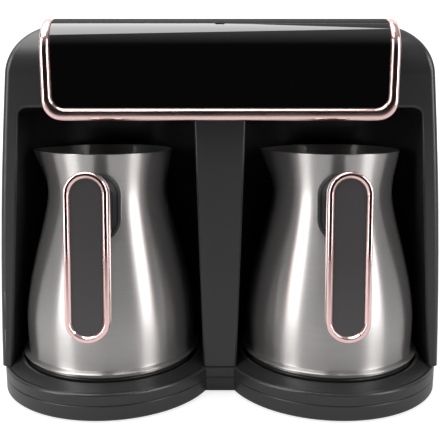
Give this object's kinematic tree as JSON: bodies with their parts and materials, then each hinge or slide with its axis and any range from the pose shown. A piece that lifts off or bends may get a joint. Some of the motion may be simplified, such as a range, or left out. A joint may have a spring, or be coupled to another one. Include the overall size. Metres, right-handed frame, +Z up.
{
  "type": "electric Turkish coffee maker",
  "caption": "Electric Turkish coffee maker with twin bays, gloss front panel, rose-gold trim and lift-out spouted steel pots on hot plates.",
  "frame": {"origin": "centre of the outer box at table level, on the soles of the feet", "axes": "+X to the right seen from the front, +Y to the back, +Z up; the panel and the handles face -Y"},
  "size_m": [0.254, 0.1749, 0.207],
  "materials": {
    "housing_plastic": "satin charcoal",
    "cover_plastic": "satin charcoal",
    "inner_plastic": "plain black",
    "gloss_black": "high gloss",
    "rose_chrome": "polished rose gold plating",
    "pot_steel": "brushed round the axis, polished bead",
    "pot_base_steel": "brushed",
    "bracket_plastic": "gloss dark grey",
    "grip_plastic": "satin black",
    "soft_insert": "soft-touch grey",
    "button_plastic": "satin gloss",
    "plate_coating": "dark heat-proof coating",
    "element_steel": "plain",
    "sensor_steel": "plain",
    "spring_steel": "plain",
    "screw_steel": "zinc plated",
    "thermostat_aluminium": "plain",
    "silicone": "translucent grey",
    "foot_rubber": "matte",
    "gland_rubber": "matte",
    "window_glass": "dark tinted",
    "circuit_board": "solder resist"
  },
  "bodies": {
    "machine": {"base_tray": "housing_plastic", "base_deck": "housing_plastic", "rubber_feet": "foot_rubber", "base_screws": "screw_steel", "front_housing": "housing_plastic", "rear_cover": "housing_plastic", "rear_screws": "screw_steel", "cord_gland": "gland_rubber", "power_board": "circuit_board", "head_carrier": "inner_plastic", "panel_trim": "rose_chrome", "front_panel": "gloss_black", "top_cover": "cover_plastic", "control_board": "circuit_board", "left_heating_plate": "plate_coating", "left_heating_element": "element_steel", "left_plate_seal": "silicone", "left_thermostat": "thermostat_aluminium", "left_sensor_holder": "inner_plastic", "left_sensor_spring": "spring_steel", "left_sensor_window": "window_glass", "left_foam_sensor": "inner_plastic", "left_button_dome": "silicone", "right_heating_plate": "plate_coating", "right_heating_element": "element_steel", "right_plate_seal": "silicone", "right_thermostat": "thermostat_aluminium", "right_sensor_holder": "inner_plastic", "right_sensor_spring": "spring_steel", "right_sensor_window": "window_glass", "right_foam_sensor": "inner_plastic", "right_button_dome": "silicone"},
    "left_pot": {"left_pot_shell": "pot_steel", "left_pot_base": "pot_base_steel", "left_handle_bracket": "bracket_plastic", "left_handle_grip": "grip_plastic", "left_handle_trim": "rose_chrome", "left_handle_insert": "soft_insert", "left_handle_screw": "screw_steel"},
    "left_start_button": {"left_button": "button_plastic"},
    "left_sensor": {"left_plate_sensor": "sensor_steel"},
    "right_pot": {"right_pot_shell": "pot_steel", "right_pot_base": "pot_base_steel", "right_handle_bracket": "bracket_plastic", "right_handle_grip": "grip_plastic", "right_handle_trim": "rose_chrome", "right_handle_insert": "soft_insert", "right_handle_screw": "screw_steel"},
    "right_start_button": {"right_button": "button_plastic"},
    "right_sensor": {"right_plate_sensor": "sensor_steel"}
  },
  "joints": [
    {"name": "left_pot_slide", "type": "slide", "parent": "machine", "child": "left_pot", "axis": [0, -0.9945, 0.1045], "range_m": [0, 0.17]},
    {"name": "left_start_press", "type": "slide", "parent": "machine", "child": "left_start_button", "axis": [0, 0, -1], "range_m": [0, 0.0008], "stiffness_N_per_m": 1500, "springref_m": -0.0006, "deforming": ["left_button_dome"]},
    {"name": "left_sensor_press", "type": "slide", "parent": "machine", "child": "left_sensor", "axis": [0, 0, -1], "range_m": [0, 0.0015], "stiffness_N_per_m": 400, "springref_m": -0.0015, "deforming": ["left_sensor_spring"]},
    {"name": "right_pot_slide", "type": "slide", "parent": "machine", "child": "right_pot", "axis": [0, -0.9945, 0.1045], "range_m": [0, 0.17]},
    {"name": "right_start_press", "type": "slide", "parent": "machine", "child": "right_start_button", "axis": [0, 0, -1], "range_m": [0, 0.0008], "stiffness_N_per_m": 1500, "springref_m": -0.0006, "deforming": ["right_button_dome"]},
    {"name": "right_sensor_press", "type": "slide", "parent": "machine", "child": "right_sensor", "axis": [0, 0, -1], "range_m": [0, 0.0015], "stiffness_N_per_m": 400, "springref_m": -0.0015, "deforming": ["right_sensor_spring"]}
  ]
}
